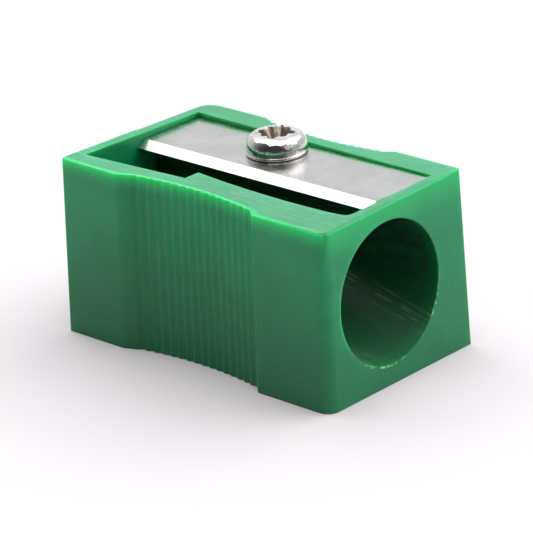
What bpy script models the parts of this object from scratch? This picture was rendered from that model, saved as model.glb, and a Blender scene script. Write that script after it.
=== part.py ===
"""Pocket pencil sharpener for thick pencils: a fluted moulded body, a ground steel blade and its screw.

Metres, +Z up, origin in the middle of the base. The pencil goes in at the +X end (the mouth) and its
point stops near the -X end (the tip). The blade lies in a recess in the top, its cutting edge facing -Y
(the near side), and the shavings come out between that edge and the near rim.
"""
import math

import bmesh
import bpy
from mathutils import Matrix, Vector

MM = 0.001

# Body
LENGTH = 26.4 * MM            # along the top, mouth face to tip face
BORE_RADIUS = 5.45 * MM       # takes a pencil of up to 10.5 mm
NEAR_WALL = 1.36 * MM         # beside the bore, at the mouth
FAR_WALL = 2.94 * MM
BASE_WALL = 1.86 * MM         # under the bore
ROOF_WALL = 1.44 * MM         # over the bore
TIP_FLARE = 1.0 * MM          # the tip end is this much wider than the mouth end
SIDE_DRAFT = 0.38 * MM        # each side stands out this much more at the base
END_DRAFT = 0.2 * MM
TOP_ROUND = 0.25 * MM         # radius of the top edges
CORNER_NEAR_MOUTH = 1.0 * MM  # radii of the upright corners
CORNER_NEAR_TIP = 0.5 * MM
CORNER_FAR_TIP = 1.3 * MM
CORNER_FAR_MOUTH = 0.35 * MM

# Fluted finger grips, one on each long side
GRIP_X = -0.4 * MM            # middle of the grip
FLUTE_COUNT = 15
FLUTE_PITCH = 0.867 * MM
FLUTE_DEPTH = 0.26 * MM
GRIP_STEP = 0.45 * MM         # depth of the grip where the flutes start
GRIP_SAG = 0.7 * MM           # how much deeper it is in the middle
GRIP_RAMP = 0.9 * MM          # slope from the flat side down to the first flute

# Recess, slot and well in the top
END_WALL = 1.08 * MM          # between the recess and each end face
FAR_RIM = 2.1 * MM            # between the recess and the far side
TIP_RIM = 1.6 * MM            # near wall of the well, at the tip end
GRIP_WALL = 1.1 * MM          # near wall of the well, behind the deepest flutes
BLADE_DEPTH = 0.3 * MM        # blade's top under the rim, halfway along
SEAT_PITCH = math.radians(1.1)  # the seat rises towards the mouth
WELL_LENGTH = 9.5 * MM
WELL_DEPTH = 8.2 * MM
WELL_UNDERCUT = 1.8 * MM      # how far the well goes on under the blade
SLOT_WIDTH = 2.85 * MM        # cutting edge to near rim, at the ends of the slot
SLOT_BOW = 0.38 * MM          # extra width halfway along
SLOT_DEPTH = 3.0 * MM
SLOT_CORNER = 0.7 * MM

# Cone that shapes the point
LEAD_GAP = 0.7 * MM           # pencil's point to the tip end's wall
CONE_END_RADIUS = 0.8 * MM
BITE = 0.06 * MM              # how far the cone reaches above the blade's underside

# Blade
BLADE_THICKNESS = 0.5 * MM
BLADE_BEVEL = 0.87 * MM       # width of the ground bevel
EDGE_REACH = 0.35 * MM        # cutting edge past the bore's centre line
BLADE_END_GAP = 0.12 * MM
BLADE_SIDE_GAP = 0.1 * MM
REST_GAP = 0.06 * MM          # blade over its seat, screw head over the blade

# Screw
SCREW_X = -1.3 * MM
HEAD_RADIUS = 2.35 * MM
HEAD_HEIGHT = 1.55 * MM
HEAD_LIP = 0.28 * MM          # upright band under the dome
HEAD_UNDERCUT = 0.12 * MM     # the band draws in towards the blade
DOME_FULLNESS = 0.8           # 1 is a half ellipse, less is fuller
HEAD_GAP = 0.12 * MM          # head to the recess's far wall
SCREW_LENGTH = 5.0 * MM       # under the head
THREAD_RADIUS = 1.0 * MM
THREAD_CORE = 0.74 * MM
THREAD_PITCH = 0.9 * MM
THREAD_CREST = 0.62           # share of the pitch that the crest's foot takes
THREAD_RUN_OUT = 3            # rows over which the thread fades out under the head
SCREW_END_RADIUS = 0.22 * MM
THREAD_GAP = 0.06 * MM        # thread to the wall of its hole
HOLE_SPARE = 0.5 * MM         # hole goes on under the screw's end
BLADE_HOLE_GAP = 0.25 * MM
RECESS_SPAN = 2.7 * MM        # cross recess, wing to wing
RECESS_FLOOR = 1.2 * MM       # span at the bottom
RECESS_WIDTH = 0.62 * MM
RECESS_DEPTH = 1.05 * MM
RECESS_TURN = math.radians(50)

# Derived sizes
HALF = LENGTH / 2
HEIGHT = BASE_WALL + 2 * BORE_RADIUS + ROOF_WALL
MOUTH_HALF_WIDTH = (NEAR_WALL + 2 * BORE_RADIUS + FAR_WALL) / 2
BORE_Y = -MOUTH_HALF_WIDTH + NEAR_WALL + BORE_RADIUS
BORE_Z = BASE_WALL + BORE_RADIUS
SEAT_Z = HEIGHT - BLADE_DEPTH - BLADE_THICKNESS - REST_GAP
RECESS_HALF = HALF - END_WALL
WELL_END_X = -RECESS_HALF + WELL_LENGTH
ABOVE = HEIGHT + 3 * MM       # where the cutters that open upwards stop

# Facets
FLUTE_STEPS = 6
ROUND_STEPS = 4
BORE_SIDES = 48
SCREW_SIDES = 24
HEAD_SIDES = 48
THREAD_ROWS = 6               # in each turn
DOME_STEPS = 8
SLOT_STEPS = 10


def clear_scene():
    for thing in list(bpy.data.objects):
        bpy.data.objects.remove(thing)


def add_object(name, mesh, material=None):
    piece = bpy.data.objects.new(name, mesh)
    bpy.context.scene.collection.objects.link(piece)
    if material:
        mesh.materials.append(material)
    return piece


def make_cutter(piece):
    piece.hide_render = True
    piece.display_type = 'WIRE'
    return piece


def make_material(name, colour, roughness, metallic):
    material = bpy.data.materials.new(name)
    material.use_nodes = True
    shader = material.node_tree.nodes["Principled BSDF"]
    shader.inputs["Base Color"].default_value = (*colour, 1)
    shader.inputs["Roughness"].default_value = roughness
    shader.inputs["Metallic"].default_value = metallic
    return material


def loft(name, loops):
    """Closed solid through loops of points, all with the same number of points, with flat ends."""
    shape = bmesh.new()
    rings = [[shape.verts.new(point) for point in loop] for loop in loops]
    count = len(rings[0])
    for lower, upper in zip(rings, rings[1:]):
        for i in range(count):
            j = (i + 1) % count
            shape.faces.new((lower[i], lower[j], upper[j], upper[i]))
    shape.faces.new(list(reversed(rings[0])))
    shape.faces.new(rings[-1])
    bmesh.ops.recalc_face_normals(shape, faces=shape.faces)
    mesh = bpy.data.meshes.new(name)
    shape.to_mesh(mesh)
    shape.free()
    return mesh


def prism(name, outline, floor, top=ABOVE):
    """Upright solid over a plan outline. Its floor is a height, or a function of x that gives one."""
    height = floor if callable(floor) else lambda x: floor
    low = [(x, y, height(x)) for x, y in outline]
    high = [(x, y, top) for x, y in outline]
    return loft(name, [low, high])


def circle(radius, sides, z):
    angles = [2 * math.pi * i / sides for i in range(sides)]
    return [(radius * math.cos(a), radius * math.sin(a), z) for a in angles]


def arc(centre, radius, start, end, steps):
    """Plan points on an arc, angles in degrees."""
    angles = [math.radians(start + (end - start) * i / steps) for i in range(steps + 1)]
    return [(centre[0] + radius * math.cos(a), centre[1] + radius * math.sin(a)) for a in angles]


def cut(piece, cutter):
    modifier = piece.modifiers.new(cutter.name, 'BOOLEAN')
    modifier.operation = 'DIFFERENCE'
    modifier.solver = 'EXACT'
    modifier.object = make_cutter(cutter)


# Body

def side_half_width(x):
    """Half width at the top, without the grip. The body widens from the mouth to the tip."""
    return MOUTH_HALF_WIDTH + TIP_FLARE / 2 * (HALF - x) / LENGTH


def grip_depth(x):
    """Depth of the grip's ridges below the flat side."""
    half = FLUTE_COUNT * FLUTE_PITCH / 2
    off = abs(x - GRIP_X)
    if off > half:
        return max(0, GRIP_STEP * (1 - (off - half) / GRIP_RAMP))
    return GRIP_STEP + GRIP_SAG * (1 - (off / half) ** 2)


def grip_points():
    """(x, depth) along one side: a ramp, scooped flutes with sharp ridges between them, and a ramp."""
    start = GRIP_X - FLUTE_COUNT * FLUTE_PITCH / 2
    points = [(start - GRIP_RAMP, 0)]
    for i in range(FLUTE_COUNT * FLUTE_STEPS + 1):
        x = start + FLUTE_PITCH * i / FLUTE_STEPS
        across = 2 * (i % FLUTE_STEPS) / FLUTE_STEPS - 1
        scoop = FLUTE_DEPTH * (1 - across ** 2)
        points.append((x, grip_depth(x) + scoop))
    points.append((start + FLUTE_COUNT * FLUTE_PITCH + GRIP_RAMP, 0))
    return points


def body_outline(side_out, end_out):
    """Plan of the body, anticlockwise from the near tip corner, with the sides and ends moved out."""
    tip, mouth = -HALF - end_out, HALF + end_out
    tip_y = side_half_width(-HALF) + side_out
    mouth_y = side_half_width(HALF) + side_out
    near = [(x, -(side_half_width(x) + side_out - depth)) for x, depth in grip_points()]
    far = [(x, -y) for x, y in reversed(near)]

    def corner(x, y, radius, start):
        centre = (x - math.copysign(radius, x), y - math.copysign(radius, y))
        return arc(centre, radius, start, start + 90, ROUND_STEPS)

    return (corner(tip, -tip_y, CORNER_NEAR_TIP, 180) + near
            + corner(mouth, -mouth_y, CORNER_NEAR_MOUTH, 270)
            + corner(mouth, mouth_y, CORNER_FAR_MOUTH, 0) + far
            + corner(tip, tip_y, CORNER_FAR_TIP, 90))


def seat_height(x):
    return SEAT_Z + math.tan(SEAT_PITCH) * x


def body_block():
    loops = [[(x, y, 0) for x, y in body_outline(SIDE_DRAFT, END_DRAFT)]]
    shoulder = TOP_ROUND / HEIGHT
    for i in range(ROUND_STEPS + 1):
        turn = math.pi / 2 * i / ROUND_STEPS
        inset = TOP_ROUND * (1 - math.cos(turn))
        z = HEIGHT - TOP_ROUND * (1 - math.sin(turn))
        outline = body_outline(SIDE_DRAFT * shoulder - inset, END_DRAFT * shoulder - inset)
        loops.append([(x, y, z) for x, y in outline])
    return loft("sharpener_body", loops)


def far_wall(x):
    return side_half_width(x) - FAR_RIM


def edge_y(x):
    """The cutting edge, parallel to the recess's far wall."""
    return BORE_Y - EDGE_REACH + far_wall(x) - far_wall(0)


def slot_rim():
    """Near edge of the slot, from the mouth end to the well: bowed, with a round corner at the mouth."""
    points = arc((RECESS_HALF - SLOT_CORNER, slot_rim_y(RECESS_HALF) + SLOT_CORNER),
                 SLOT_CORNER, 0, -90, ROUND_STEPS)
    for i in range(1, SLOT_STEPS + 1):
        x = RECESS_HALF - SLOT_CORNER + (WELL_END_X - RECESS_HALF + SLOT_CORNER) * i / SLOT_STEPS
        points.append((x, slot_rim_y(x)))
    return points


def slot_rim_y(x):
    middle = (RECESS_HALF + WELL_END_X) / 2
    across = (x - middle) / (RECESS_HALF - middle)
    return edge_y(0) - SLOT_WIDTH - SLOT_BOW * (1 - across ** 2)


def well_rim():
    """Near edge of the well, from the slot to the tip end."""
    step_y = -(side_half_width(WELL_END_X) - grip_depth(WELL_END_X) - FLUTE_DEPTH - GRIP_WALL)
    corner_y = -(side_half_width(-RECESS_HALF) - TIP_RIM)
    return [(WELL_END_X, step_y), (-RECESS_HALF, corner_y)]


def recess_cutter():
    outline = [(-RECESS_HALF, far_wall(-RECESS_HALF)), (RECESS_HALF, far_wall(RECESS_HALF))]
    outline += slot_rim() + well_rim()
    return prism("recess_cutter", outline, seat_height)


def slot_cutter():
    outline = [(WELL_END_X - MM, edge_y(0)), (RECESS_HALF, edge_y(0))] + slot_rim()
    outline.append((WELL_END_X - MM, slot_rim_y(WELL_END_X)))
    return prism("slot_cutter", outline, HEIGHT - SLOT_DEPTH)


def well_cutter():
    under = edge_y(-RECESS_HALF) + WELL_UNDERCUT
    outline = [(-RECESS_HALF, under), (WELL_END_X, under)] + well_rim()
    return prism("well_cutter", outline, HEIGHT - WELL_DEPTH, SEAT_Z + MM)


def bore_cutter():
    """Cylinder, then a cone whose upper side runs along the blade. Both rise towards the tip."""
    mouth = Vector((HALF, BORE_Y, BORE_Z))
    apex_x = -RECESS_HALF + LEAD_GAP
    apex = Vector((apex_x, BORE_Y, seat_height(apex_x) + BITE))
    axis = apex - mouth
    half_angle = math.atan2(axis.z, -axis.x) + SEAT_PITCH
    cone_start = axis.length - BORE_RADIUS / math.tan(half_angle)
    cone_end = axis.length - CONE_END_RADIUS / math.tan(half_angle)
    loops = [circle(BORE_RADIUS, BORE_SIDES, -3 * MM), circle(BORE_RADIUS, BORE_SIDES, cone_start),
             circle(CONE_END_RADIUS, BORE_SIDES, cone_end)]
    cutter = add_object("bore_cutter", loft("bore_cutter", loops))
    cutter.matrix_world = Matrix.Translation(mouth) @ axis.to_track_quat('Z', 'Y').to_matrix().to_4x4()
    return cutter


def screw_frame():
    """Where the screw's axis meets the seat: Z is the seat's normal, X runs along the far wall."""
    up = Vector((-math.sin(SEAT_PITCH), 0, math.cos(SEAT_PITCH)))
    along = Vector((LENGTH, -TIP_FLARE / 2, LENGTH * math.tan(SEAT_PITCH))).normalized()
    across = up.cross(along)
    y = far_wall(SCREW_X) - (HEAD_RADIUS + HEAD_GAP) / across.y
    axes = Matrix((along, across, up)).transposed().to_4x4()
    return Matrix.Translation((SCREW_X, y, seat_height(SCREW_X))) @ axes


def build_body(material):
    body = add_object("sharpener_body", body_block(), material)
    cut(body, add_object("recess_cutter", recess_cutter()))
    cut(body, add_object("slot_cutter", slot_cutter()))
    cut(body, add_object("well_cutter", well_cutter()))
    cut(body, bore_cutter())
    depth = SCREW_LENGTH + HOLE_SPARE
    radius = THREAD_RADIUS + THREAD_GAP
    loops = [circle(radius, SCREW_SIDES, -depth), circle(radius, SCREW_SIDES, MM)]
    hole = add_object("screw_hole_cutter", loft("screw_hole_cutter", loops))
    hole.matrix_world = screw_frame()
    cut(body, hole)
    return body


# Blade and screw, drawn around the screw's axis with the seat at z = 0

def build_blade(axis, material):
    """Flat strip with a bevel ground on its top and the cutting edge along its underside."""
    frame = screw_frame()
    to_frame = frame.inverted()
    far = HEAD_RADIUS + HEAD_GAP - BLADE_SIDE_GAP
    edge = (to_frame @ Vector((SCREW_X, edge_y(SCREW_X), seat_height(SCREW_X)))).y
    middle = (to_frame @ Vector((0, frame.translation.y, seat_height(0)))).x
    half = RECESS_HALF - BLADE_END_GAP
    top = REST_GAP + BLADE_THICKNESS
    section = [(edge, REST_GAP), (far, REST_GAP), (far, top), (edge + BLADE_BEVEL, top)]
    ends = [[(middle + side * half, y, z) for y, z in section] for side in (-1, 1)]
    blade = add_object("blade", loft("blade", ends), material)
    blade.parent = axis
    radius = THREAD_RADIUS + BLADE_HOLE_GAP
    loops = [circle(radius, BORE_SIDES, -MM), circle(radius, BORE_SIDES, 2 * MM)]
    hole = add_object("blade_hole_cutter", loft("blade_hole_cutter", loops))
    hole.parent = axis
    cut(blade, hole)
    return blade


def thread_radius(angle, z):
    """Radius of a right-hand thread: a narrow crest that climbs one pitch each turn, on a round core."""
    across = (z / THREAD_PITCH - angle / (2 * math.pi)) % 1
    crest = max(0, 1 - 2 * abs(across - 0.5) / THREAD_CREST)
    return THREAD_CORE + (THREAD_RADIUS - THREAD_CORE) * crest


def screw_loops():
    """Rings from the screw's end up to the top of its domed head."""
    under = REST_GAP * 2 + BLADE_THICKNESS
    end = under - SCREW_LENGTH
    loops = [circle(SCREW_END_RADIUS, SCREW_SIDES, end)]
    rows = THREAD_ROWS * round((SCREW_LENGTH - THREAD_CORE) / THREAD_PITCH)
    step = (SCREW_LENGTH - THREAD_CORE) / rows
    for row in range(rows):
        z = end + THREAD_CORE + row * step
        fade = min(1, (rows - 1 - row) / THREAD_RUN_OUT)
        ring = []
        for x, y, _ in circle(1, SCREW_SIDES, 0):
            radius = THREAD_CORE + (thread_radius(math.atan2(y, x), z) - THREAD_CORE) * fade
            ring.append((radius * x, radius * y, z))
        loops.append(ring)
    return loops, under


def cross_outline(reach, z):
    """A plus sign with wings of one width and the given reach."""
    width = RECESS_WIDTH / 2
    points = []
    for quarter in range(4):
        turn = Matrix.Rotation(math.pi / 2 * quarter, 3, 'Z')
        points += [turn @ Vector(p) for p in ((reach, -width, z), (reach, width, z), (width, width, z))]
    return points


def build_screw(axis, material):
    loops, under = screw_loops()
    loops.append(circle(THREAD_CORE, SCREW_SIDES, under + HEAD_LIP))
    shank = add_object("blade_screw", loft("blade_screw", loops), material)
    shank.parent = axis

    head_loops = [circle(HEAD_RADIUS - HEAD_UNDERCUT, HEAD_SIDES, under),
                  circle(HEAD_RADIUS, HEAD_SIDES, under + HEAD_LIP / 3)]
    for i in range(DOME_STEPS):
        turn = math.pi / 2 * i / DOME_STEPS
        z = under + HEAD_LIP + (HEAD_HEIGHT - HEAD_LIP) * math.sin(turn)
        head_loops.append(circle(HEAD_RADIUS * math.cos(turn) ** DOME_FULLNESS, HEAD_SIDES, z))
    head = add_object("screw_head", loft("screw_head", head_loops))
    head.parent = axis
    join = shank.modifiers.new("head", 'BOOLEAN')
    join.operation = 'UNION'
    join.solver = 'EXACT'
    join.object = make_cutter(head)

    top = under + HEAD_HEIGHT
    loops = [cross_outline(RECESS_FLOOR / 2, top - RECESS_DEPTH), cross_outline(RECESS_SPAN / 2, top),
             cross_outline(RECESS_SPAN / 2, top + MM)]
    recess = add_object("cross_recess_cutter", loft("cross_recess_cutter", loops))
    recess.parent = axis
    recess.rotation_euler.z = RECESS_TURN
    cut(shank, recess)
    return shank


def shade(piece, angle):
    piece.data.shade_smooth()
    piece.data.set_sharp_from_angle(angle=math.radians(angle))


def main():
    clear_scene()
    green = make_material("green_plastic", (0.03, 0.42, 0.13), 0.35, 0)
    steel = make_material("ground_steel", (0.56, 0.56, 0.57), 0.38, 1)
    plating = make_material("bright_plating", (0.75, 0.74, 0.72), 0.12, 1)
    axis = add_object("screw_axis", None)
    axis.matrix_world = screw_frame()
    shade(build_body(green), 30)
    shade(build_blade(axis, steel), 30)
    shade(build_screw(axis, plating), 40)


main()
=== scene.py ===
import math

import bmesh
import bpy
from mathutils import Matrix, Vector, noise


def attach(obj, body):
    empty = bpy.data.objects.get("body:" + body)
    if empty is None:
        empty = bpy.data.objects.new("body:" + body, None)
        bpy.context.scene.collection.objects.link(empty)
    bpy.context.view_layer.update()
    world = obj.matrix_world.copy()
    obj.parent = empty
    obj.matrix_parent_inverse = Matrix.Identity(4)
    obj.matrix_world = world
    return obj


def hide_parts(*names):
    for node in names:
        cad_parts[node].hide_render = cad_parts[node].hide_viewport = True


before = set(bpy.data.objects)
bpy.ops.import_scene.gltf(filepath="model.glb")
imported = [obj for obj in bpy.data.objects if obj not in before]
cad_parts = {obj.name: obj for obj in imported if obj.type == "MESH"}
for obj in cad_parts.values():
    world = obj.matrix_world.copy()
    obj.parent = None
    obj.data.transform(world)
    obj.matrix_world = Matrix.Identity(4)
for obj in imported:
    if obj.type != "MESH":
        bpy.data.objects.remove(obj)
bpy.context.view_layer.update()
print("frame loaded")

# Everything below is drawn in millimetres and made metres when a piece is finished.
metre = 0.001
mergeGap = 0.0005  # points closer than this are one
flatAngle = 0.004  # faces that turn less than this are one


def makeObject(name, shape):
    mesh = bpy.data.meshes.new(name)
    shape.to_mesh(mesh)
    shape.free()
    piece = bpy.data.objects.new(name, mesh)
    bpy.context.scene.collection.objects.link(piece)
    return piece


def stack(rings):  # a closed skin through rings of points, drawn by extruding the first ring
    shape = bmesh.new()
    order = shape.verts.layers.int.new("order")
    corners = [shape.verts.new(point) for point in rings[0]]
    for number, corner in enumerate(corners):
        corner[order] = number
    edges = [shape.edges.new((corners[i - 1], corners[i])) for i in range(len(corners))]
    bmesh.ops.edgeloop_fill(shape, edges=edges)
    for ring in rings[1:]:
        grown = bmesh.ops.extrude_edge_only(shape, edges=edges)["geom"]
        edges = [part for part in grown if isinstance(part, bmesh.types.BMEdge)]
        for part in grown:
            if isinstance(part, bmesh.types.BMVert):
                part.co = ring[part[order]]
    bmesh.ops.edgeloop_fill(shape, edges=edges)
    bmesh.ops.recalc_face_normals(shape, faces=shape.faces)
    return shape


def applyModifiers(piece):
    bpy.context.view_layer.update()
    graph = bpy.context.evaluated_depsgraph_get()
    mesh = bpy.data.meshes.new_from_object(piece.evaluated_get(graph))
    old = piece.data
    piece.modifiers.clear()
    piece.data = mesh
    bpy.data.meshes.remove(old)
    mesh.name = piece.name


def cutAway(piece, cutters, operation="DIFFERENCE"):
    for cutter in cutters:
        modifier = piece.modifiers.new(cutter.name, "BOOLEAN")
        modifier.operation = operation
        modifier.solver = "EXACT"
        modifier.object = cutter
    applyModifiers(piece)
    for cutter in cutters:
        mesh = cutter.data
        bpy.data.objects.remove(cutter)
        bpy.data.meshes.remove(mesh)


def roundEdges(piece, widthOf, segments):  # widthOf gives each edge's fillet in millimetres, or 0
    shape = bmesh.new()
    shape.from_mesh(piece.data)
    bmesh.ops.remove_doubles(shape, verts=shape.verts, dist=mergeGap)
    bmesh.ops.dissolve_degenerate(shape, edges=shape.edges, dist=mergeGap)
    bmesh.ops.dissolve_limit(shape, angle_limit=flatAngle, verts=shape.verts, edges=shape.edges)
    weight = shape.edges.layers.float.new("bevel_weight_edge")
    for edge in shape.edges:
        edge[weight] = widthOf(edge)
    shape.to_mesh(piece.data)
    shape.free()
    modifier = piece.modifiers.new("fillets", "BEVEL")
    modifier.limit_method = "WEIGHT"
    modifier.width = 1
    modifier.segments = segments
    modifier.profile = 0.5
    modifier.use_clamp_overlap = True
    modifier.material = -1
    applyModifiers(piece)


def finishPiece(piece, body, node, material, sharp=35):
    piece.data.transform(Matrix.Scale(metre, 4))
    piece.data.shade_smooth()
    piece.data.set_sharp_from_angle(angle=math.radians(sharp))
    piece.data.materials.clear()
    piece.data.materials.append(material)
    shading = piece.modifiers.new("shading", "WEIGHTED_NORMAL")
    shading.keep_sharp = True
    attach(piece, body)
    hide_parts(node)
    print(piece.name, len(piece.data.polygons), "faces")


def arcPoints(centre, radius, start, end, steps):
    turns = [math.radians(start + (end - start) * i / steps) for i in range(steps + 1)]
    return [(centre[0] + radius * math.cos(t), centre[1] + radius * math.sin(t)) for t in turns]


def circlePoints(radius, sides, z):
    turns = [2 * math.pi * i / sides for i in range(sides)]
    return [(radius * math.cos(t), radius * math.sin(t), z) for t in turns]


def easeIn(value, low, high):  # 0 below low, 1 above high, smooth between
    t = min(1, max(0, (value - low) / (high - low)))
    return t * t * (3 - 2 * t)


body = {
    "length": 26.5,
    "height": 14.2,
    "mouthHalfWidth": 7.68,
    "tipFlare": 1.0,
    "sideDraft": 0.38,
    "endDraft": 0.28,
    "cornerNearMouth": 1.0,
    "cornerNearTip": 0.22,
    "cornerFarTip": 1.2,
    "cornerFarMouth": 0.2,
    "baseRound": 0.05,
    "mouthSkew": 0.04,         # the ends aren't quite square to the sides
    "tipSkew": 0.1,
    "cornerLift": 0.18,        # two opposite top corners stand this much higher
    "boreRadius": 5.45,
    "boreY": -0.79,
    "boreZ": 7.31,
    "mouthLip": 0.2,           # fillets: round the mouth, the tip end's inner rim, the other rims
    "tipFillet": 0.45,
    "rimFillet": 0.12,
    "lipNicks": 0.198,
    "endWall": 0.9,
    "farRim": 2.18,
    "tipRim": 1.68,
    "wellNear": -5.47,
    "wellLength": 9.73,
    "wellDepth": 8.2,
    "wellUndercut": 1.8,
    "slotWidth": 2.85,
    "slotBow": 0.38,
    "slotDepth": 3.0,
    "slotCorner": 0.7,
    "leadGap": 0.93,
    "coneEnd": 0.8,
    "coneBite": 0.06,          # how far the cone's point stands above the seat
}
grip = {
    "count": 16,
    "pitch": 0.771,
    "scoop": 0.15,
    "sag": 0.63,
    "mouthRamp": 0.55,
    "steps": 10,
    "near": {"middle": -0.3, "step": 0.5, "tipRamp": 1.15},
    "far": {"middle": 0.1, "step": 0.34, "tipRamp": 0.75},
}
half = body["length"] / 2
recessHalf = half - body["endWall"]
wellEnd = -recessHalf + body["wellLength"]
gripHalf = grip["count"] * grip["pitch"] / 2
above = body["height"] + 3


def halfWidth(x):
    return body["mouthHalfWidth"] + body["tipFlare"] / 2 * (half - x) / body["length"]


def gripDepth(x, side):
    off = abs(x - side["middle"])
    if off > gripHalf:
        ramp = side["tipRamp"] if x < side["middle"] else grip["mouthRamp"]
        return max(0, side["step"] * (1 - (off - gripHalf) / ramp))
    return side["step"] + grip["sag"] * (1 - (off / gripHalf) ** 2)


def between(start, end, count=None):  # evenly spaced steps from start to end, without the two ends
    count = count or max(1, round(abs(end - start) / flash["spacing"]))
    return [start + (end - start) * i / count for i in range(1, count)]


def gripLine(side, tipEnd, mouthEnd):  # (x, depth) along one side, from corner to corner
    start, end = side["middle"] - gripHalf, side["middle"] + gripHalf
    points = [(x, gripDepth(x, side)) for x in between(tipEnd, start - side["tipRamp"])]
    points.append((start - side["tipRamp"], 0))
    points += [(x, gripDepth(x, side)) for x in between(start - side["tipRamp"], start)]
    for i in range(grip["count"] * grip["steps"] + 1):
        x = start + grip["pitch"] * i / grip["steps"]
        across = 2 * (i % grip["steps"]) / grip["steps"] - 1
        points.append((x, gripDepth(x, side) + grip["scoop"] * (1 - across ** 2)))
    points.append((end + grip["mouthRamp"], 0))
    return points + [(x, 0) for x in between(end + grip["mouthRamp"], mouthEnd)]


flash = {
    "height": 0.075,
    "width": 0.1,
    "end": 6.4,                # how far towards the mouth it runs
    "spacing": 0.16,           # of the points along the grip that carry it
}


def topRound(x, y):  # the top edge's radius, softest around the near mouth corner
    mouth = 0.28 * easeIn(x, 12.4, 13.1) * easeIn(-y, -7.4, -6.2)
    if y < 0:
        return 0.06 + max(mouth, 0.3 * easeIn(x, 6, 12))
    return 0.05 + max(mouth, 0.12 * easeIn(-x, 11, 13))


def flashHeight(x, y):  # the thin torn edge left by the mould, along the near side
    if y > 0:
        return 0
    rough = 0.55 + 0.9 * noise.noise(Vector((x * 3.1, 4, 0))) + 0.5 * noise.noise(Vector((x * 11, 9, 2)))
    return flash["height"] * max(0, rough) * (1 - easeIn(x, flash["end"] - 2, flash["end"]))


def bodyRing(z, inset=None):  # plan of the body at a height; inset is how far round an edge it is
    share = (body["height"] - z) / body["height"]
    sideOut, endOut = body["sideDraft"] * share, body["endDraft"] * share
    tipY, mouthY = halfWidth(-half) + sideOut, halfWidth(half) + sideOut
    nearLine = gripLine(grip["near"], body["cornerNearTip"] - half, half - body["cornerNearMouth"])
    farLine = gripLine(grip["far"], body["cornerFarTip"] - half, half - body["cornerFarMouth"])
    near = [(x, depth - halfWidth(x) - sideOut, 0, -1) for x, depth in nearLine]
    far = [(x, halfWidth(x) + sideOut - depth, 0, 1) for x, depth in reversed(farLine)]

    def corner(x, y, radius, start):
        centre = (x - math.copysign(radius, x), y - math.copysign(radius, y))
        points = arcPoints(centre, radius, start, start + 90, 8)
        return [(px, py, (px - centre[0]) / radius, (py - centre[1]) / radius) for px, py in points]

    def endFace(x, outX, low, high):  # points across an end face
        return [(x, y, outX, 0) for y in between(low, high, 90)]

    line = corner(-half - endOut, -tipY, body["cornerNearTip"], 180) + near
    line += corner(half + endOut, -mouthY, body["cornerNearMouth"], 270)
    line += endFace(half + endOut, 1, body["cornerNearMouth"] - mouthY, mouthY - body["cornerFarMouth"])
    line += corner(half + endOut, mouthY, body["cornerFarMouth"], 0) + far
    line += corner(-half - endOut, tipY, body["cornerFarTip"], 90)
    line += endFace(-half - endOut, -1, tipY - body["cornerFarTip"], body["cornerNearTip"] - tipY)
    ring = []
    for x, y, outX, outY in line:
        if inset is None:
            ring.append((x, y, z))
            continue
        kind, turn = inset
        radius = body["baseRound"] if kind == "base" else topRound(x, y)
        draw, drop = radius * (1 - math.cos(turn)), radius * (1 - math.sin(turn))
        level = drop if kind == "base" else body["height"] - drop
        if kind == "flash":
            level = body["height"] + flashHeight(x, y)
            draw = radius * 0.4 + flash["width"] * 0.4
        if kind == "rim":
            draw = radius + flash["width"]
        ring.append((x - outX * draw, y - outY * draw, level))
    return ring


def bodyBlock():
    rounds = [math.pi / 2 * i / 5 for i in range(6)]
    rings = [bodyRing(0, ("base", turn)) for turn in reversed(rounds)]
    rings += [bodyRing(body["height"], ("top", turn)) for turn in rounds[:-1]]
    rings += [bodyRing(body["height"], (kind, math.pi / 2)) for kind in ("flash", "rim")]
    return makeObject("mouldedBody", stack(rings))


seat = {"depth": 0.86, "pitch": math.radians(1.1)}


def seatHeight(x):
    return body["height"] - seat["depth"] + math.tan(seat["pitch"]) * x


def farWall(x):
    return halfWidth(x) - body["farRim"]


def edgeLine(x):
    return body["boreY"] - blade["edgeReach"] + farWall(x) - farWall(0)


def slotLine(x):
    middle = (recessHalf + wellEnd) / 2
    across = (x - middle) / (recessHalf - middle)
    return edgeLine(0) - body["slotWidth"] - body["slotBow"] * (1 - across ** 2)


def slotRim():
    radius = body["slotCorner"]
    start = recessHalf - radius
    points = arcPoints((start, slotLine(recessHalf) + radius), radius, 0, -90, 6)
    steps = 14
    along = [start + (wellEnd - start) * i / steps for i in range(1, steps + 1)]
    return points + [(x, slotLine(x)) for x in along]


def wellRim():
    return [(wellEnd, body["wellNear"]), (-recessHalf, -(halfWidth(-recessHalf) - body["tipRim"]))]


def pocket(name, line, floor, top=above):
    height = floor if callable(floor) else lambda x: floor
    return makeObject(name, stack([[(x, y, height(x)) for x, y in line], [(x, y, top) for x, y in line]]))


def boreAxis():  # where the bore's axis leaves the mouth, and from there to the cone's point
    mouth = Vector((half, body["boreY"], body["boreZ"]))
    apexX = -recessHalf + body["leadGap"]
    return mouth, Vector((apexX, body["boreY"], seatHeight(apexX) + body["coneBite"])) - mouth


def boreCutter():
    mouth, axis = boreAxis()
    slope = math.tan(math.atan2(axis.z, -axis.x) + seat["pitch"])
    sides = 192
    rings = [circlePoints(body["boreRadius"], sides, -3),
             circlePoints(body["boreRadius"], sides, axis.length - body["boreRadius"] / slope),
             circlePoints(body["coneEnd"], sides, axis.length - body["coneEnd"] / slope)]
    cutter = makeObject("boreCutter", stack(rings))
    cutter.data.transform(Matrix.Translation(mouth) @ axis.to_track_quat("Z", "Y").to_matrix().to_4x4())
    return cutter


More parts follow.
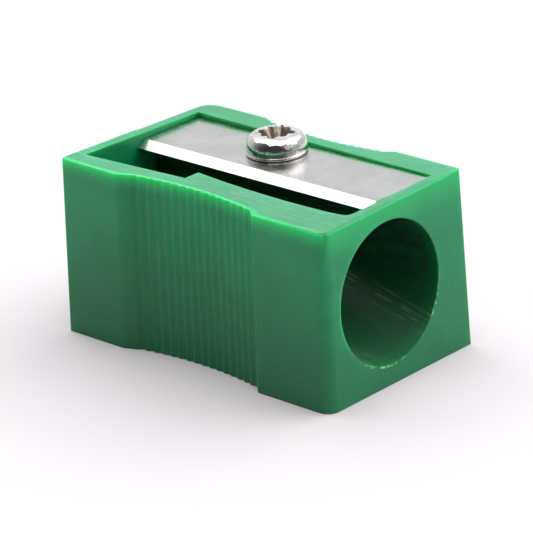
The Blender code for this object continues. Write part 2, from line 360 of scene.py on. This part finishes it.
def screwFrame():
    up = Vector((-math.sin(seat["pitch"]), 0, math.cos(seat["pitch"])))
    length = body["length"]
    along = Vector((length, -body["tipFlare"] / 2, length * math.tan(seat["pitch"]))).normalized()
    across = up.cross(along)
    x = screw["x"]
    y = farWall(x) - (screw["headRadius"] + screw["wallGap"]) / across.y
    return Matrix.Translation((x, y, seatHeight(x))) @ Matrix((along, across, up)).transposed().to_4x4()


def rimFillet(edge):
    if len(edge.link_faces) != 2 or edge.calc_face_angle(0) < math.radians(40):
        return 0
    points = [vert.co for vert in edge.verts]
    normals = [face.normal for face in edge.link_faces]
    middle = (points[0] + points[1]) / 2
    if min(p.z for p in points) > body["height"] - 0.02 and min(n.z for n in normals) < 0.3:
        return body["tipFillet"] if middle.x < -recessHalf + 0.05 else body["rimFillet"]
    if min(p.x for p in points) > half - 0.1 and max(n.x for n in normals) > 0.9:
        return body["mouthLip"]
    return 0


def lipChip(point):  # how badly the mouth's lip is chipped at a point; mostly along its bottom
    x, y, z = point
    outside = math.hypot(y - body["boreY"], z - body["boreZ"]) - body["boreRadius"]
    if x < half - 0.6 or not -0.4 < outside < 0.6:
        return 0
    low = easeIn(body["boreZ"] - z, -1.5, 3.5) * easeIn(y - body["boreY"], -4.5, 2)
    rough = noise.noise(Vector((x * 0.5, y * 3.1, z * 3.1))) + 0.6 * noise.noise(point * 7.3)
    return max(0, rough - 0.02) * low * easeIn(body["mouthLip"] * 0.6 - outside, 0, 0.08)


def buildBody(material):
    piece = bodyBlock()
    recess = [(-recessHalf, farWall(-recessHalf)), (recessHalf, farWall(recessHalf))]
    recess += slotRim() + wellRim()
    slot = [(wellEnd - 1, edgeLine(0)), (recessHalf, edgeLine(0))] + slotRim()
    slot.append((wellEnd - 1, slotLine(wellEnd)))
    under = edgeLine(-recessHalf) + body["wellUndercut"]
    well = [(-recessHalf, under), (wellEnd, under)] + wellRim()
    hole = makeObject("holeCutter", stack([circlePoints(screw["holeRadius"], 48, -screw["holeDepth"]),
                                           circlePoints(screw["holeRadius"], 48, 1)]))
    hole.data.transform(screwFrame())
    cutAway(piece, [pocket("recessCutter", recess, seatHeight),
                    pocket("slotCutter", slot, body["height"] - body["slotDepth"]),
                    pocket("wellCutter", well, body["height"] - body["wellDepth"], body["height"]),
                    boreCutter(), hole])
    roundEdges(piece, rimFillet, 4)
    for vert in piece.data.vertices:
        x, y, z = vert.co
        across = y / body["mouthHalfWidth"]
        lift = body["cornerLift"] * x / half * across
        vert.co.z += lift * easeIn(z, body["height"] - 0.7, body["height"] - 0.1)
        vert.co.x -= body["lipNicks"] * lipChip(vert.co)
        vert.co.x += body["mouthSkew"] * across * easeIn(x, recessHalf, half)
        vert.co.x -= body["tipSkew"] * (across + 1) / 2 * easeIn(-x, recessHalf, half)
    finishPiece(piece, "body", "sharpener_body", material)


blade = {
    "thickness": 0.5,
    "bevel": 0.87,
    "edgeReach": 0.35,
    "endGap": 0.12,
    "sideGap": 0.06,
    "restGap": 0.06,
    "hole": 1.25,
    "keenEdge": 0.012,
    "dullEdge": 0.03,
}


def buildBlade(material):
    place = screwFrame()
    back = place.inverted()
    far = screw["headRadius"] + screw["wallGap"] - blade["sideGap"]
    underEdge = Vector((screw["x"], edgeLine(screw["x"]), seatHeight(screw["x"])))
    edge = (back @ underEdge).y
    middle = (back @ Vector((0, place.translation.y, seatHeight(0)))).x
    reach = recessHalf - blade["endGap"]
    low, top = blade["restGap"], blade["restGap"] + blade["thickness"]
    section = [(edge, low), (far, low), (far, top), (edge + blade["bevel"], top)]
    ends = (middle - reach, middle + reach)
    piece = makeObject("groundBlade", stack([[(x, y, z) for y, z in section] for x in ends]))
    hole = makeObject("bladeHoleCutter", stack([circlePoints(blade["hole"], 96, z) for z in (-1, 2)]))
    cutAway(piece, [hole])

    def grindWidth(edge):
        if len(edge.link_faces) != 2 or edge.calc_face_angle(0) < math.radians(20):
            return 0
        sharp = edge.calc_face_angle(0) > math.radians(100)
        return blade["keenEdge"] if sharp else blade["dullEdge"]

    roundEdges(piece, grindWidth, 2)
    piece.data.transform(place)
    finishPiece(piece, "blade", "blade", material)


screw = {
    "x": -1.3,
    "headRadius": 2.43,
    "headHeight": 1.65,
    "lip": 0.32,               # height of the head's widest ring
    "undercut": 0.08,
    "flatRadius": 1.4,
    "wallGap": 0.04,
    "length": 5.0,
    "threadRadius": 1.0,
    "threadCore": 0.74,
    "threadPitch": 0.9,
    "threadCrest": 0.62,       # share of the pitch that the crest's foot takes
    "threadSides": 48,
    "threadRows": 60,
    "point": 0.22,
    "holeRadius": 1.06,
    "holeDepth": 5.5,
    "span": 3.15,
    "floorSpan": 1.7,
    "wing": 0.8,
    "rib": 0.88,               # the small wings' share of the big ones' reach
    "recess": 1.05,
    "fillet": 0.05,
    "turn": 30,
}


def threadRadius(angle, z):
    across = (z / screw["threadPitch"] - angle / (2 * math.pi)) % 1
    crest = max(0, 1 - 2 * abs(across - 0.5) / screw["threadCrest"])
    return screw["threadCore"] + (screw["threadRadius"] - screw["threadCore"]) * crest


def shankRings(under):
    sides, end = screw["threadSides"], under - screw["length"]
    rings = [circlePoints(screw["point"], sides, end)]
    rows = screw["threadRows"]
    climb = (screw["length"] - screw["threadCore"]) / rows
    for row in range(rows):
        z = end + screw["threadCore"] + row * climb
        fade = min(1, (rows - 1 - row) / 6)
        ring = []
        for x, y, _ in circlePoints(1, sides, 0):
            radius = screw["threadCore"] + (threadRadius(math.atan2(y, x), z) - screw["threadCore"]) * fade
            ring.append((radius * x, radius * y, z))
        rings.append(ring)
    rings.append(circlePoints(screw["threadCore"], sides, under + screw["lip"]))
    return rings


def headShape(under):  # a profile spun round the screw's axis
    shape = bmesh.new()
    lip, rise = screw["lip"], screw["headHeight"] - screw["lip"]
    radius = screw["headRadius"]
    foot = radius - screw["undercut"]
    profile = [(0, 0), (foot, 0), (foot + 0.04, 0.02), (foot + 0.055, 0.06), (foot + 0.04, 0.1)]
    profile += [(foot + 0.025, 0.13), (foot + 0.045, 0.18), (foot + 0.07, 0.25), (radius, lip)]
    steps, flat = 16, screw["flatRadius"]
    for i in range(1, steps + 1):
        turn = math.pi / 2 * i / steps
        out = flat + (radius - flat) * math.cos(turn) ** 0.85
        profile.append((out, lip + (rise - 0.05) * math.sin(turn) ** 0.9))
    profile += [(flat * 0.6, lip + rise - 0.02), (flat * 0.3, lip + rise - 0.005), (0, lip + rise)]
    verts = [shape.verts.new((x, 0, under + z)) for x, z in profile]
    edges = [shape.edges.new(pair) for pair in zip(verts, verts[1:])]
    bmesh.ops.spin(shape, geom=verts + edges, axis=(0, 0, 1), cent=(0, 0, 0), steps=96,
                   angle=2 * math.pi, use_merge=True, use_duplicate=False, use_normal_flip=False)
    bmesh.ops.remove_doubles(shape, verts=shape.verts, dist=mergeGap)
    bmesh.ops.recalc_face_normals(shape, faces=shape.faces)
    return shape


def crossRing(reach, width, z):  # four wings with a small one between each two
    points = []
    for eighth in range(8):
        turn = Matrix.Rotation(math.pi / 4 * eighth, 3, "Z")
        small = eighth % 2
        out = reach * (screw["rib"] if small else 1)
        wide = width * (0.5 if small else 0.62)
        for x, y in ((out * 0.97, -wide), (out, -wide * 0.5), (out, wide * 0.5), (out * 0.97, wide)):
            points.append(turn @ Vector((x, y, z)))
        points.append(turn @ Matrix.Rotation(math.pi / 8, 3, "Z") @ Vector((reach * 0.74, 0, z)))
    return points


def buildScrew(material):
    under = blade["restGap"] * 2 + blade["thickness"]
    piece = makeObject("panScrew", stack(shankRings(under)))
    cutAway(piece, [makeObject("screwHead", headShape(under))], "UNION")
    top, reach, wing = under + screw["headHeight"], screw["span"] / 2, screw["wing"] / 2
    rings = [crossRing(screw["floorSpan"] / 2, wing * 0.45, top - screw["recess"])]
    rings += [crossRing(reach, wing, z) for z in (top, top + 1)]
    cross = makeObject("crossCutter", stack(rings))
    cross.data.transform(Matrix.Rotation(math.radians(screw["turn"]), 4, "Z"))
    cutAway(piece, [cross])

    def recessFillet(edge):
        if len(edge.link_faces) != 2 or edge.calc_face_angle(0) < math.radians(35):
            return 0
        return screw["fillet"] if min(vert.co.z for vert in edge.verts) > under + 0.6 else 0

    roundEdges(piece, recessFillet, 3)
    piece.data.transform(screwFrame())
    finishPiece(piece, "screw", "blade_screw", material, 50)


class Wire:  # one socket of a material, so that its maths is written as Python
    def __init__(self, paint, socket):
        self.paint, self.socket = paint, socket

    def math(self, operation, first, second=0.0):
        return self.paint.node("ShaderNodeMath", {"operation": operation}, {0: first, 1: second})

    def __add__(self, other):
        return self.math("ADD", self, other)

    def __sub__(self, other):
        return self.math("SUBTRACT", self, other)

    def __rsub__(self, other):
        return self.math("SUBTRACT", other, self)

    def __mul__(self, other):
        return self.math("MULTIPLY", self, other)

    def __pow__(self, other):
        return self.math("POWER", self, other)

    def larger(self, other):
        return self.math("MAXIMUM", self, other)

    def __abs__(self):
        return self.math("ABSOLUTE", self)

    __radd__, __rmul__ = __add__, __mul__


class Tree:  # a node tree, and short ways of adding to it
    def __init__(self, tree):
        self.nodes = tree.nodes
        self.links = tree.links

    def node(self, kind, settings=None, sockets=None, out=0):
        made = self.nodes.new(kind)
        for key, value in (settings or {}).items():
            setattr(made, key, value)
        for key, value in (sockets or {}).items():
            self.plug(made.inputs[key], value)
        return Wire(self, made.outputs[out])

    def plug(self, socket, value):
        if isinstance(value, Wire):
            self.links.new(value.socket, socket)
        elif isinstance(value, tuple) and socket.type == "RGBA":
            socket.default_value = (*value, 1)
        else:
            socket.default_value = value

    def split(self, vector):
        node = self.node("ShaderNodeSeparateXYZ", sockets={0: vector})
        return [Wire(self, socket) for socket in node.socket.node.outputs]

    def vector(self, operation, first, second=(0, 0, 0), out=0):
        return self.node("ShaderNodeVectorMath", {"operation": operation}, {0: first, 1: second}, out)

    def fade(self, value, low, high, start=0.0, end=1.0):
        return self.node("ShaderNodeMapRange", {"interpolation_type": "SMOOTHSTEP"},
                         {"Value": value, "From Min": low, "From Max": high, "To Min": start, "To Max": end})

    def blend(self, factor, first, second):
        mix = self.node("ShaderNodeMix", {"data_type": "RGBA"})
        node = mix.socket.node
        self.plug(node.inputs["Factor"], factor)
        self.plug(node.inputs[6], first)
        self.plug(node.inputs[7], second)
        return Wire(self, node.outputs[2])


class Paint(Tree):  # a material on a piece, with its pattern's place in millimetres
    def __init__(self, name):
        self.material = bpy.data.materials.new(name)
        self.material.use_nodes = True
        super().__init__(self.material.node_tree)
        self.shader = self.nodes["Principled BSDF"]
        place = self.node("ShaderNodeTexCoord", out="Object")
        self.place = self.node("ShaderNodeMapping", sockets={"Vector": place, "Scale": (1000, 1000, 1000)})
        self.x, self.y, self.z = self.split(self.place)

    def set(self, **values):
        for key, value in values.items():
            self.plug(self.shader.inputs[key.replace("_", " ")], value)

    def stretch(self, scale, turn=(0, 0, 0), start=(0, 0, 0)):
        sockets = {"Vector": self.place, "Scale": scale, "Rotation": turn, "Location": start}
        return self.node("ShaderNodeMapping", sockets=sockets)

    def noise(self, scale, detail=3, roughness=0.55, place=None):
        sockets = {"Vector": place or self.place, "Scale": scale, "Detail": detail, "Roughness": roughness}
        return self.node("ShaderNodeTexNoise", sockets=sockets)

    def specks(self, scale, size):  # dots of about the given share of their spacing
        cells = self.node("ShaderNodeTexVoronoi", {"feature": "F1"},
                          {"Vector": self.place, "Scale": scale}, "Distance")
        return self.fade(cells, size, size * 0.4)

    def bump(self, height, distance=1.0):
        sockets = {"Height": height, "Distance": distance * metre, "Strength": 1.0}
        return self.node("ShaderNodeBump", sockets=sockets)


plastic = {
    "green": (0.008, 0.310, 0.128),
    "deepGreen": (0.006, 0.25, 0.097),
    # painted shade towards the base
    "baseShadeGreen": (0.004, 0.155, 0.060),
    # painted shade inside the bore
    "boreShadeGreen": (0.004, 0.13, 0.042),
    # painted glow colour
    "paintedGlowGreen": (0.012, 0.56, 0.17),
    # pale dust, also used for a painted sheen on the top face
    "dustAndSheen": (0.42, 0.62, 0.50),
    "flashGreen": (0.36, 0.86, 0.34),
    # painted shade deep in the bore and down the well
    "insideShadeGreen": (0.005, 0.10, 0.035),
    "graphite": (0.014, 0.026, 0.020),
    "bark": (0.20, 0.09, 0.03),
    # painted highlight on the bore's tool marks
    "toolMarkHighlight": (0.21, 0.33, 0.19),
    "toolMarkLines": 34.0,     # how closely they lie round the bore
    "toolMarkLength": 0.25,    # smaller is longer
    "roughness": 0.36,
    "specular": 0.36,
    "glowDepth": 1.35,         # how deep light goes in, in millimetres
}


def boreLines(paint):  # how far a point is outside the bore, its direction round the axis, and lines along it
    mouth, axis = boreAxis()
    axis.normalize()
    arm = paint.vector("SUBTRACT", paint.place, tuple(mouth))
    across = paint.vector("CROSS_PRODUCT", arm, tuple(axis))
    turn = paint.vector("NORMALIZE", across)
    along = paint.vector("DOT_PRODUCT", arm, tuple(axis), 1)
    wide = paint.node("ShaderNodeVectorMath", {"operation": "SCALE"},
                      {0: turn, "Scale": plastic["toolMarkLines"]})
    deep = paint.node("ShaderNodeCombineXYZ", sockets={0: along * plastic["toolMarkLength"]})
    return paint.vector("LENGTH", across, out=1) - body["boreRadius"], turn, paint.vector("ADD", wide, deep)


def paintPlastic():
    paint = Paint("greenPlastic")
    x, y, z = paint.x, paint.y, paint.z
    cloud = paint.noise(0.22, 3)
    grain = paint.noise(3.5, 4, 0.6)
    lift = body["cornerLift"] / half / body["mouthHalfWidth"]
    over = z - body["height"] - x * y * lift                     # above the top face
    onTop = paint.fade(over, -0.08, -0.01)
    bore, turn, lines = boreLines(paint)
    ragged = paint.noise(0.8, 3, 0.6)
    inBore = paint.fade(bore, 0.15, 0.02) * paint.fade(over, -0.9, -1.3)
    inBore = inBore * paint.fade(x, -recessHalf + 0.05, -recessHalf + 0.25)
    deepIn = paint.fade(x + ragged - 0.5, half + 0.1, half - 1.9) * inBore
    nearWall = y + halfWidth(0) - 1.5 - x * (body["tipFlare"] / 2 / body["length"])
    inPocket = paint.fade(nearWall, -0.05, 0.05) * paint.fade(abs(x), recessHalf + 0.12, recessHalf + 0.02)
    inPocket = inPocket * paint.fade(over, -0.5, -2.6) * paint.fade(x, -recessHalf + 0.05, -8.5)
    inPocket = inPocket * paint.fade(y, 6.6, 6.3)
    # painted shade deep in the bore and down the well, mixed below with real graphite stains
    inside = deepIn.larger(inPocket)
    stain = paint.fade(paint.noise(1.3, 4, 0.6, paint.stretch((0.35, 1, 1))), 0.35, 0.62)
    stain = stain * paint.fade(z, 4.5, 9, 0.15, 0.75)
    innerColour = paint.blend(stain, plastic["insideShadeGreen"], plastic["graphite"])

    # outside: slow clouds, painted shade darkening towards the base, wiping marks along the near rim, dust
    # specks and a painted sheen on the top face, a few specks of wood
    streak = paint.noise(1, 3, 0.6, paint.stretch((0.35, 4.5, 4.5), (0, 0, math.radians(-1.2))))
    colour = paint.blend(paint.fade(cloud, 0.3, 0.7), plastic["green"], plastic["deepGreen"])
    # painted shade: the colour darkens towards the bottom, less so on the mouth face
    baseShade = paint.fade(z + cloud * 3, 14.5, 2.0) * paint.fade(x, half - 0.7, half - 0.1, 0.85, 0.5)
    colour = paint.blend(baseShade, colour, plastic["baseShadeGreen"])
    wiped = paint.fade(streak, 0.52, 0.72) * onTop * paint.fade(y, -3.0, -5.5)
    colour = paint.blend(wiped * 0.32, colour, plastic["dustAndSheen"])
    # dust specks, and the whole top face made a tenth paler as a painted sheen
    dustAndSheen = paint.specks(1.7, 0.055) * 0.8
    colour = paint.blend(dustAndSheen.larger(onTop * 0.1), colour, plastic["dustAndSheen"])
    colour = paint.blend(paint.specks(0.42, 0.045) * 0.75, colour, plastic["bark"])
    # painted shade: the whole bore is darkened
    colour = paint.blend(inBore, colour, plastic["boreShadeGreen"])
    # painted shade and graphite stains on the inner surfaces
    colour = paint.blend(inside, colour, innerColour)

    # painted highlight streaks on the tool marks in the bore, along the pencil
    marks = paint.noise(1, 2, 0.5, lines)
    # the painted highlight is kept to the bands where the bore would reflect light
    farBand = paint.fade(paint.vector("DOT_PRODUCT", turn, (0.16, 0.68, 0.68), 1), 0.955, 0.985)
    lowBand = paint.fade(paint.vector("DOT_PRODUCT", turn, (-0.08, 0.93, -0.3), 1), 0.9, 0.98)
    farBand = farBand * paint.fade(x, 4.5, 7) * paint.fade(paint.noise(0.6, 2), 0.35, 0.55)
    lowBand = lowBand * paint.fade(x, half - 4.0, half - 1.2) * 0.4
    markHighlight = paint.fade(marks, 0.5, 0.66) * inBore * farBand.larger(lowBand)
    colour = paint.blend(markHighlight * 0.75, colour, plastic["toolMarkHighlight"])

    # pale torn plastic: the flash along the near edge, and nicks round the mouth's lip
    torn = paint.noise(6, 3, 0.6)
    nearGrip = grip["near"]
    off = x - nearGrip["middle"]
    bow = (off * (1 / gripHalf)) ** 2
    depth = (1 - bow).larger(0) * grip["sag"]
    depth = depth + paint.fade(abs(off), gripHalf + nearGrip["tipRamp"], gripHalf, 0, nearGrip["step"])
    edge = y + halfWidth(0) - x * (body["tipFlare"] / 2 / body["length"]) - depth
    flashed = paint.fade(edge, 0.42, 0.3) * paint.fade(over, 0.004, 0.02) * paint.fade(torn, 0.3, 0.5)
    lip = paint.fade(abs(bore - 0.09), 0.1, 0.05) * paint.fade(x, half - 0.22, half - 0.1)
    cluster = paint.fade(paint.noise(0.55, 2, 0.5, paint.stretch((1, 1, 1), start=(4, 3, 7))), 0.46, 0.6)
    chips = paint.fade(paint.noise(2.6, 3, 0.6), 0.47, 0.55)
    lip = lip * paint.fade(z, 8.0, 4.0) * paint.fade(y, -5.5, -2.5) * chips * cluster
    pale = flashed.larger(lip)
    # painted glow: a bright saturated band under the near top edge and across the top of the mouth face
    glow = paint.fade(edge, 0.5, 0.35) * paint.fade(over, -1.3, -0.1)
    glow = glow.larger(paint.fade(x, half - 0.25, half - 0.05) * paint.fade(over, -2.8, -0.2) * 0.7)
    colour = paint.blend(glow * 0.8, colour, plastic["paintedGlowGreen"])
    colour = paint.blend(pale * 0.7, colour, plastic["flashGreen"])

    rough = paint.fade(grain, 0.2, 0.8, plastic["roughness"] - 0.07, plastic["roughness"] + 0.09)
    rough = rough + paint.fade(streak, 0.45, 0.7) * onTop * 0.12 + inside * 0.1
    scratch = paint.noise(1, 2, 0.5, paint.stretch((0.25, 7, 7), (0, math.radians(2), 0), (3, 1, 2)))
    height = grain * 0.006 + paint.fade(scratch, 0.7, 0.76) * -0.01
    height = height + paint.fade(streak, 0.5, 0.8) * onTop * 0.01
    height = height + paint.specks(2.3, 0.09) * 0.012 + torn * pale * 0.03 + paint.noise(0.9, 2) * 0.03
    paint.set(Base_Color=colour, Subsurface_Weight=1.0, Subsurface_Scale=plastic["glowDepth"] * metre,
              Subsurface_Radius=(0.12, 1.0, 0.35), IOR=1.5, Specular_IOR_Level=plastic["specular"],
              Roughness=rough)
    paint.set(Normal=paint.bump(height))
    return paint.material


steel = {
    "face": (0.60, 0.59, 0.585),
    "dull": (0.53, 0.52, 0.515),
    "rust": (0.40, 0.34, 0.28),
    "roughness": 0.24,
}


def paintSteel():
    paint = Paint("groundSteel")
    mottle = paint.noise(1.6, 5, 0.68)
    broad = paint.noise(0.35, 3, 0.6)
    fine = paint.noise(9, 3, 0.6)
    brushed = paint.noise(1, 3, 0.6, paint.stretch((0.5, 14, 14)))
    colour = paint.blend(paint.fade(mottle * 0.5 + broad, 0.5, 1.0), steel["dull"], steel["face"])
    colour = paint.blend(paint.specks(1.1, 0.05) * 0.5, colour, steel["rust"])
    paint.set(Base_Color=colour, Metallic=1.0)
    rough = paint.fade(broad, 0.3, 0.7, steel["roughness"] - 0.03, steel["roughness"] + 0.05)
    paint.set(Roughness=rough + paint.fade(brushed, 0.3, 0.8) * 0.03)
    paint.set(Normal=paint.bump(fine * 0.00012 + brushed * 0.0002 + broad * 0.003))
    return paint.material


# the dark colour serves for tarnish clouds and for painted shade in the cross recess
plating = {"bright": (0.80, 0.785, 0.76), "tarnishAndShade": (0.20, 0.155, 0.11)}


def paintPlating():
    paint = Paint("brightPlating")
    cloud = paint.noise(1.4, 3)
    fine = paint.noise(7, 3, 0.6)
    centre = screwFrame().translation
    out = ((paint.x - centre.x) ** 2 + (paint.y - centre.y) ** 2) ** 0.5
    top = blade["restGap"] * 2 + blade["thickness"] + screw["headHeight"] + centre.z
    # painted shade: darkens the cross recess towards its floor
    deep = paint.fade(paint.z, top - 0.03, top - 0.22) * paint.fade(out, 1.75, 1.5)
    colour = paint.blend(paint.fade(cloud, 0.45, 0.8) * 0.5, plating["bright"], plating["tarnishAndShade"])
    colour = paint.blend(deep * 0.92, colour, plating["tarnishAndShade"])
    paint.set(Base_Color=colour, Metallic=1.0)
    paint.set(Roughness=paint.fade(cloud, 0.2, 0.8, 0.08, 0.17) + deep * 0.2)
    paint.set(Normal=paint.bump(fine * 0.002 + cloud * 0.05))
    return paint.material


plasticPaint, steelPaint, platingPaint = paintPlastic(), paintSteel(), paintPlating()
buildBody(plasticPaint)
buildBlade(steelPaint)
buildScrew(platingPaint)

studio = {
    "floor": (0.67, 0.67, 0.675),
    "floorShadow": (0.67, 0.615, 0.645),  # painted shadow: a darker pinkish tint on the floor near the object
    "floorRadius": 3.0,        # in metres
    "tintFar": 42,             # where the painted shadow tint ends and where it is full, in millimetres
    "tintFull": 15,
    "dimSky": 0.05,            # the room on the camera's side
    "sky": 0.62,
    "glow": 0.36,              # a wide window low behind, on the tip side
    "skyColour": (0.96, 0.98, 1.0),
    "view": "Standard",
}
lights = [  # name, azimuth and elevation it comes from, distance, width and height in metres, brightness
    ("backKey", 150, 48, 0.7, (0.7, 0.5), 2.9),
    ("leftTop", 270, 60, 0.6, (0.4, 0.4), 2.2),
    ("overhead", 40, 80, 0.8, (0.7, 0.7), 2.6),
    ("rightSide", 95, 30, 0.8, (0.5, 0.4), 0.4),
]
camera = {
    "azimuth": 44.3,
    "elevation": 22.652,
    "roll": -3.393,
    "distance": 234.5,
    "target": (0.64, -0.59, 6.17),
    "lens": 207.4,
    "sensor": 36,
}


def fromDirection(azimuth, elevation):  # azimuth 0 looks from the near side, 90 from the mouth
    turn, tilt = math.radians(azimuth), math.radians(elevation)
    return Vector((math.sin(turn) * math.cos(tilt), -math.cos(turn) * math.cos(tilt), math.sin(tilt)))


def buildFloor():
    shape = bmesh.new()
    bmesh.ops.create_circle(shape, cap_ends=True, segments=96, radius=studio["floorRadius"])
    floor = makeObject("paleFloor", shape)
    paint = Paint("palePaper")
    away = paint.vector("LENGTH", paint.place, out=1)
    # painted shadow: the floor darkens and tints pink towards the object
    shadowTint = paint.fade(away, studio["tintFar"], studio["tintFull"])
    colour = paint.blend(shadowTint, studio["floor"], studio["floorShadow"])
    fibres = paint.noise(2.2, 4, 0.6)
    colour = paint.blend(paint.fade(fibres, 0.3, 0.7) * 0.03, colour, (0.7, 0.7, 0.7))
    paint.set(Base_Color=colour, Roughness=0.8, Normal=paint.bump(fibres, 0.01))
    floor.data.materials.append(paint.material)


def buildLights():
    world = bpy.data.worlds.new("studio")
    bpy.context.scene.world = world
    world.use_nodes = True
    tree = Tree(world.node_tree)
    ray = tree.node("ShaderNodeTexCoord", out="Generated")
    front = tree.vector("DOT_PRODUCT", ray, tuple(fromDirection(25, 8)), out=1)
    behind = tree.vector("DOT_PRODUCT", ray, tuple(fromDirection(224, 25)), out=1)
    strength = tree.fade(front, -0.3, 0.75, studio["sky"], studio["dimSky"])
    strength = strength + tree.fade(behind, 0.55, 0.95) * studio["glow"]
    sky = tree.nodes["Background"]
    sky.inputs["Color"].default_value = (*studio["skyColour"], 1)
    tree.plug(sky.inputs["Strength"], strength)
    for name, azimuth, elevation, distance, size, brightness in lights:
        lamp = bpy.data.lights.new(name, "AREA")
        lamp.shape = "RECTANGLE"
        lamp.size, lamp.size_y = size
        lamp.energy = brightness * size[0] * size[1] * math.pi
        holder = bpy.data.objects.new(name, lamp)
        bpy.context.scene.collection.objects.link(holder)
        direction = fromDirection(azimuth, elevation)
        holder.matrix_world = (Matrix.Translation(direction * distance)
                               @ direction.to_track_quat("Z", "Y").to_matrix().to_4x4())


def buildCamera():
    lens = bpy.data.cameras.new("camera")
    lens.lens = camera["lens"]
    lens.sensor_width = camera["sensor"]
    lens.clip_start = 0.01
    lens.clip_end = 20
    holder = bpy.data.objects.new("camera", lens)
    bpy.context.scene.collection.objects.link(holder)
    back = fromDirection(camera["azimuth"], camera["elevation"])
    turn = math.radians(camera["azimuth"])
    right = Vector((math.cos(turn), math.sin(turn), 0))
    up = back.cross(right)
    roll = math.radians(camera["roll"])
    across = math.cos(roll) * right + math.sin(roll) * up
    upright = math.cos(roll) * up - math.sin(roll) * right
    place = (Vector(camera["target"]) + back * camera["distance"]) * metre
    holder.matrix_world = Matrix.Translation(place) @ Matrix((across, upright, back)).transposed().to_4x4()
    bpy.context.scene.camera = holder


buildFloor()
buildLights()
buildCamera()
bpy.context.scene.view_settings.view_transform = studio["view"]
print("stage ready")
